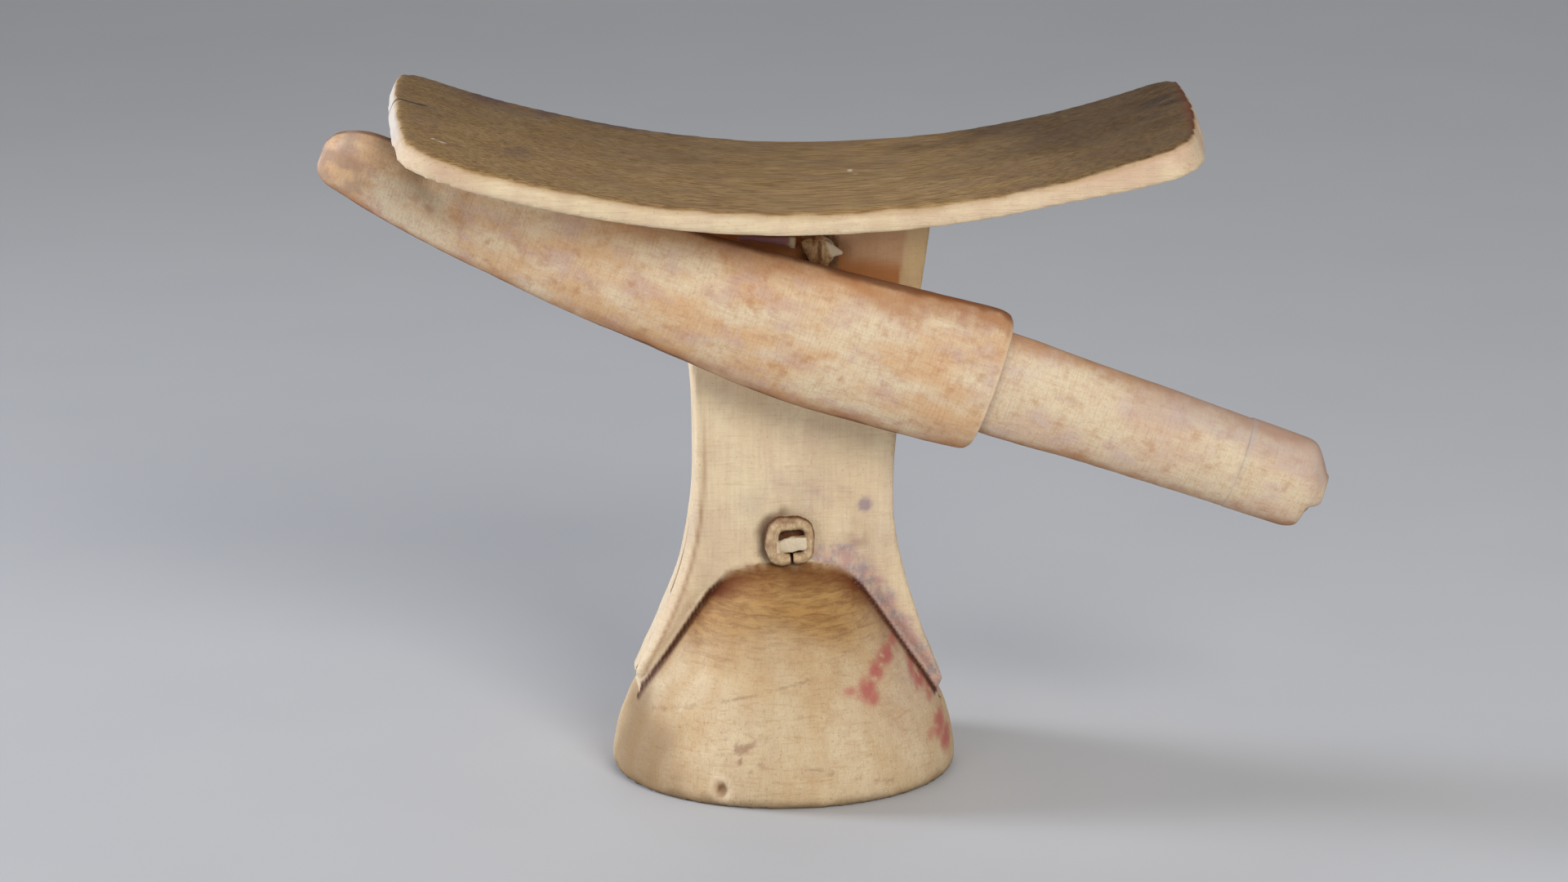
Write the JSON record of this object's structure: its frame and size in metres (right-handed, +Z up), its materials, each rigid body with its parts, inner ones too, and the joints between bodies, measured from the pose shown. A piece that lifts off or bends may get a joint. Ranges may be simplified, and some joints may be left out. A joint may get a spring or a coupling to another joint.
{
  "type": "wooden headrest with a sheathed knife",
  "caption": "Carved wooden headrest with a curved crest, flat stem and domed foot, and a hide-covered knife in its sheath tied across the front.",
  "frame": {"origin": "middle of the foot's flat underside", "axes": "+Z up, +X along the crest towards the knife's grip, -Y the front, where the knife hangs"},
  "size_m": [0.243, 0.0864, 0.1705],
  "materials": {
    "carved_wood": "hand-carved pale hardwood, worn smooth, browned by handling on top and stained red and violet near the foot",
    "core_wood": "plain knife-cut wood",
    "sheath_hide": "thick mottled pinkish hide with dirty orange-brown edges",
    "grip_hide": "cream-coloured hide, polished by the hand",
    "thong_hide": "twisted raw hide with pale cut ends",
    "blade_steel": "hand-forged steel, dull, with dark scale and a bright ground edge"
  },
  "bodies": {
    "headrest": {"headrest_block": "carved_wood", "carrying_thong": "thong_hide", "lower_thong_knot": "thong_hide", "upper_thong_knot": "thong_hide"},
    "sheath": {"sheath_tab": "thong_hide", "sheath_seam_lacing": "thong_hide", "sheath_cover": "sheath_hide", "sheath_core_front": "core_wood", "sheath_core_back": "core_wood"},
    "knife": {"knife_blade": "blade_steel", "grip_core": "core_wood", "grip_sleeve": "grip_hide", "butt_cap": "grip_hide"}
  },
  "joints": [
    {"name": "sheath_swing", "type": "hinge", "parent": "headrest", "child": "sheath", "pos_m": [0.008, -0.008, 0.1323], "axis": [0, -1, 0], "range_deg": [0, 30]},
    {"name": "knife_draw", "type": "slide", "parent": "sheath", "child": "knife", "axis": [0.9419, -0.0494, -0.3322], "range_m": [0, 0.13]}
  ]
}
